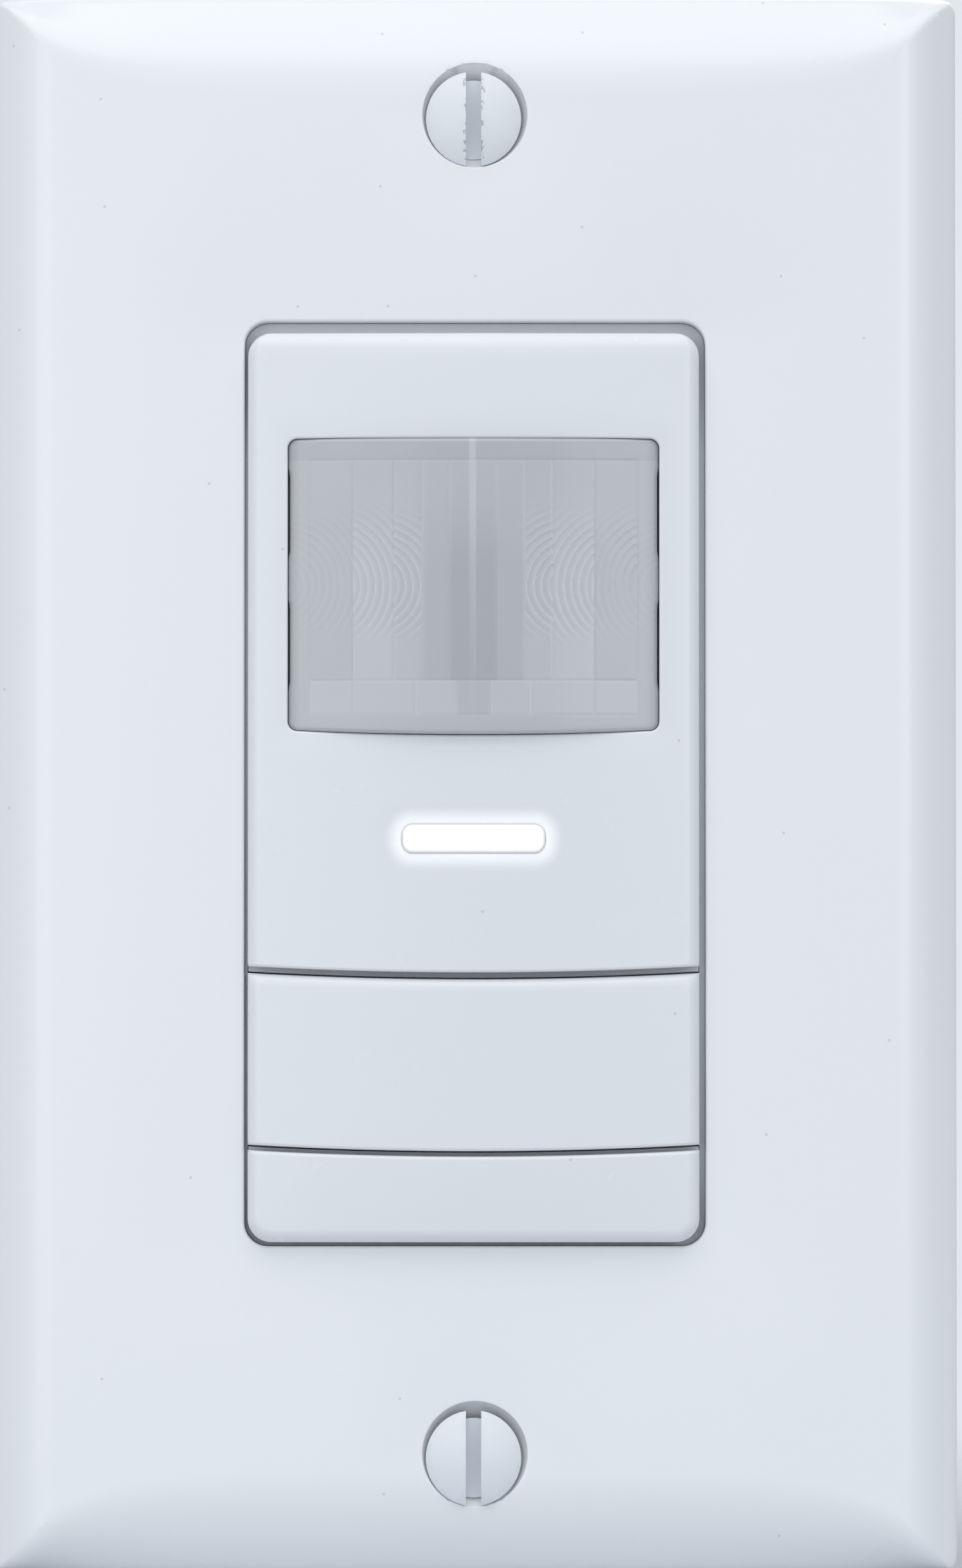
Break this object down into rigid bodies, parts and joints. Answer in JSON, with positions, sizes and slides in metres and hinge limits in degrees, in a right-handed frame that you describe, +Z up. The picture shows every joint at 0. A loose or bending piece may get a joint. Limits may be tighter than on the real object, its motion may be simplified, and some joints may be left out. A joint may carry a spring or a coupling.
{
  "type": "motion sensor light switch",
  "caption": "Decorator-style wall switch with a motion sensor: bowed face with a lens, a lit bar and a hinged push button, held by a wall plate, with a box-mounted housing behind.",
  "frame": {"origin": "midway between the two wall box screws, on the wall surface", "axes": "+X to the right seen from the room, +Z up, +Y into the wall; the face looks along -Y"},
  "size_m": [0.0698, 0.0423, 0.1144],
  "materials": {
    "white_plate": "smooth satin white, faintly cool",
    "white_face": "fine matte-satin moulded white",
    "milky_lens": "milky translucent grey with fine grooves",
    "light_bar": "diffusing white light bar, lit",
    "black_plastic": "moulded black",
    "plated_steel": "zinc plated",
    "white_screw": "white enamel, scuffed at the slot",
    "natural_nylon": "natural nylon",
    "green_screw": "green dyed plating",
    "dark_housing": "moulded dark grey",
    "board_green": "solder mask",
    "sensor_can": "plated can",
    "sensor_filter": "dark infrared filter",
    "led_body": "white LED package",
    "chip_black": "moulded epoxy",
    "pin_gold": "gold flash",
    "relay_case": "moulded case",
    "coil_copper": "enamelled copper",
    "relay_iron": "plated iron",
    "contact_silver": "silver on brass",
    "film_box": "yellow potted box",
    "can_sleeve": "sleeved can",
    "varistor_blue": "blue epoxy",
    "winding_tape": "yellow tape over ferrite",
    "fuse_ceramic": "coated resistor",
    "terminal_brass": "plain brass",
    "terminal_nickel": "nickel plated"
  },
  "bodies": {
    "device": {"wallplate": "white_plate", "wallplate_screws": "white_screw", "front_cover": "white_face", "fresnel_lens": "milky_lens", "light_pipe": "light_bar", "optics_retainer": "black_plastic", "mounting_strap": "plated_steel", "box_screws": "plated_steel", "screw_inserts": "natural_nylon", "ground_screw": "green_screw", "rear_housing": "dark_housing", "housing_screws": "plated_steel", "control_board": "board_green", "pir_sensor": "sensor_can", "pir_window": "sensor_filter", "daylight_sensor": "led_body", "status_led": "led_body", "tact_switch": "black_plastic", "microcontroller": "chip_black", "board_header": "black_plastic", "header_pins": "pin_gold", "power_board": "board_green", "board_screws": "plated_steel", "relay_base": "relay_case", "relay_cover": "relay_case", "relay_coil": "coil_copper", "relay_yoke": "relay_iron", "relay_contact": "contact_silver", "film_capacitor": "film_box", "electrolytic_capacitor": "can_sleeve", "varistor": "varistor_blue", "transformer": "winding_tape", "rectifier": "chip_black", "fuse_resistor": "fuse_ceramic", "line_terminal": "terminal_brass", "load_terminal": "terminal_brass", "neutral_terminal": "terminal_nickel", "terminal_screws": "terminal_brass", "neutral_screw": "terminal_nickel"},
    "push_button": {"push_button": "white_face"},
    "tact_plunger": {"tact_plunger": "black_plastic"},
    "relay_armature": {"relay_armature": "relay_iron"}
  },
  "joints": [
    {"name": "button_press", "type": "hinge", "parent": "device", "child": "push_button", "pos_m": [0, -0.0042, -0.01563], "axis": [1, 0, 0], "range_deg": [0, 3.2], "stiffness_Nm_per_rad": 0.06},
    {"name": "plunger_travel", "type": "slide", "parent": "device", "child": "tact_plunger", "axis": [0, 1, 0], "range_m": [0, 0.00032]},
    {"name": "relay_throw", "type": "hinge", "parent": "device", "child": "relay_armature", "pos_m": [-0.012, 0.0174, 0.01625], "axis": [0, 0, 1], "range_deg": [0, 4], "stiffness_Nm_per_rad": 0.02}
  ],
  "couplings": [
    {"joint": "plunger_travel", "follows": "button_press", "m_per_rad": 0.0056}
  ]
}
